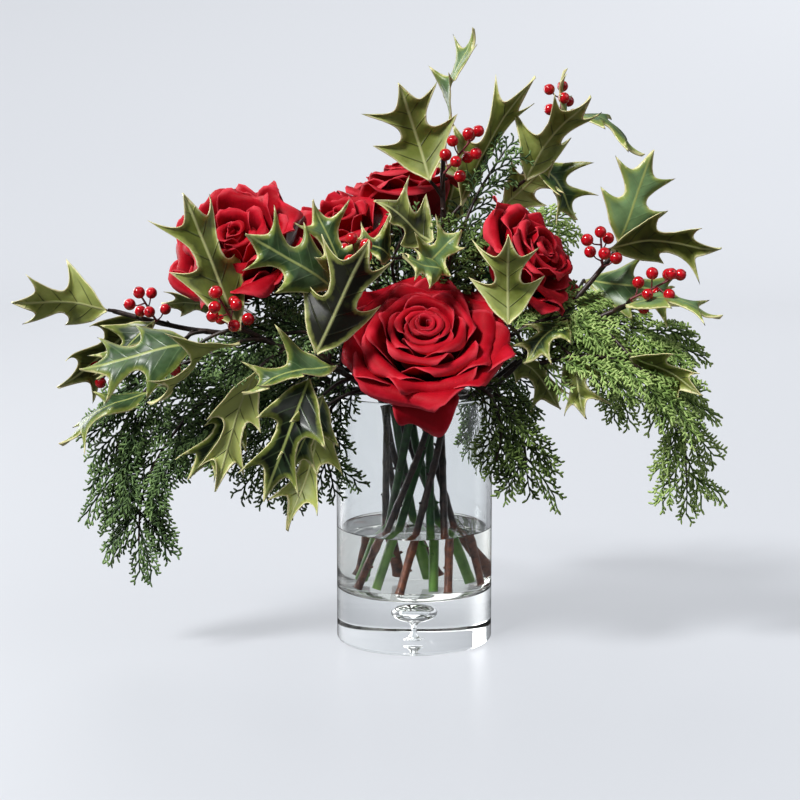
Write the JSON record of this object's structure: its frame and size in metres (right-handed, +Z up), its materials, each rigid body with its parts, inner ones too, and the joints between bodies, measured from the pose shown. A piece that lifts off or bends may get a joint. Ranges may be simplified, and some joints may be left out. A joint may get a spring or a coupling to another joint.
{
  "type": "flower arrangement in a glass vase",
  "caption": "Cut roses, variegated holly with berries and drooping cypress sprays standing in water in a clear, thick-based glass cylinder vase.",
  "frame": {"origin": "centre of the vase's flat underside", "axes": "+Z up along the vase; -Y is the front of the arrangement; +X is to the right seen from the front, along the arrangement's longest extent"},
  "size_m": [0.5596, 0.3511, 0.4954],
  "materials": {
    "vase_glass": "clear blown soda-lime glass, fire polished, with an air bubble in the thick base",
    "water": null,
    "rose_petal": "velvety deep crimson petals with brighter rolled edges",
    "rose_stem": "smooth green stem with thorns and leaf nodes",
    "bark": "dark brown bark, slightly rough, with buds and nodes",
    "holly_leaf": "leathery leaf, dark green above with a cream margin, pale olive below",
    "berry": "glossy red berries on brown-red stalks",
    "cypress_foliage": "flat scaly branchlets, dark to yellow-green"
  },
  "bodies": {
    "root": {"glass_vase": "vase_glass", "water": "water", "berries_centre": "berry", "berries_far_left": "berry", "berries_left": "berry", "berries_right_lower": "berry", "berries_right_upper": "berry", "berries_top": "berry", "berries_top_right": "berry", "cypress_branch_back": "bark", "cypress_branch_left": "bark", "cypress_branch_right": "bark", "cypress_spray_back": "cypress_foliage", "cypress_spray_left": "cypress_foliage", "cypress_spray_left_inner": "cypress_foliage", "cypress_spray_right": "cypress_foliage", "cypress_spray_right_inner": "cypress_foliage", "cypress_spray_top": "cypress_foliage", "holly_branch_back": "bark", "holly_branch_far_left": "bark", "holly_branch_left_front": "bark", "holly_branch_right": "bark", "holly_branch_top": "bark", "holly_leaf_back_left": "holly_leaf", "holly_leaf_back_right": "holly_leaf", "holly_leaf_centre_dark": "holly_leaf", "holly_leaf_centre_left": "holly_leaf", "holly_leaf_centre_right": "holly_leaf", "holly_leaf_centre_top": "holly_leaf", "holly_leaf_far_left": "holly_leaf", "holly_leaf_hanging_back": "holly_leaf", "holly_leaf_hanging_dark": "holly_leaf", "holly_leaf_hanging_pale": "holly_leaf", "holly_leaf_left_dark": "holly_leaf", "holly_leaf_left_front": "holly_leaf", "holly_leaf_left_upright": "holly_leaf", "holly_leaf_right_blue": "holly_leaf", "holly_leaf_right_dark": "holly_leaf", "holly_leaf_right_low": "holly_leaf", "holly_leaf_right_upright": "holly_leaf", "holly_leaf_top_drooping": "holly_leaf", "holly_leaf_top_left": "holly_leaf", "holly_leaf_top_long": "holly_leaf", "holly_leaf_top_right": "holly_leaf", "holly_leaf_top_tall": "holly_leaf", "rose_centre_heart": "rose_petal", "rose_centre_outer_petals": "rose_petal", "rose_centre_stem": "rose_stem", "rose_front_heart": "rose_petal", "rose_front_outer_petals": "rose_petal", "rose_front_stem": "rose_stem", "rose_left_heart": "rose_petal", "rose_left_outer_petals": "rose_petal", "rose_left_stem": "rose_stem", "rose_right_heart": "rose_petal", "rose_right_outer_petals": "rose_petal", "rose_right_stem": "rose_stem", "rose_top_heart": "rose_petal", "rose_top_outer_petals": "rose_petal", "rose_top_stem": "rose_stem"}
  },
  "joints": []
}
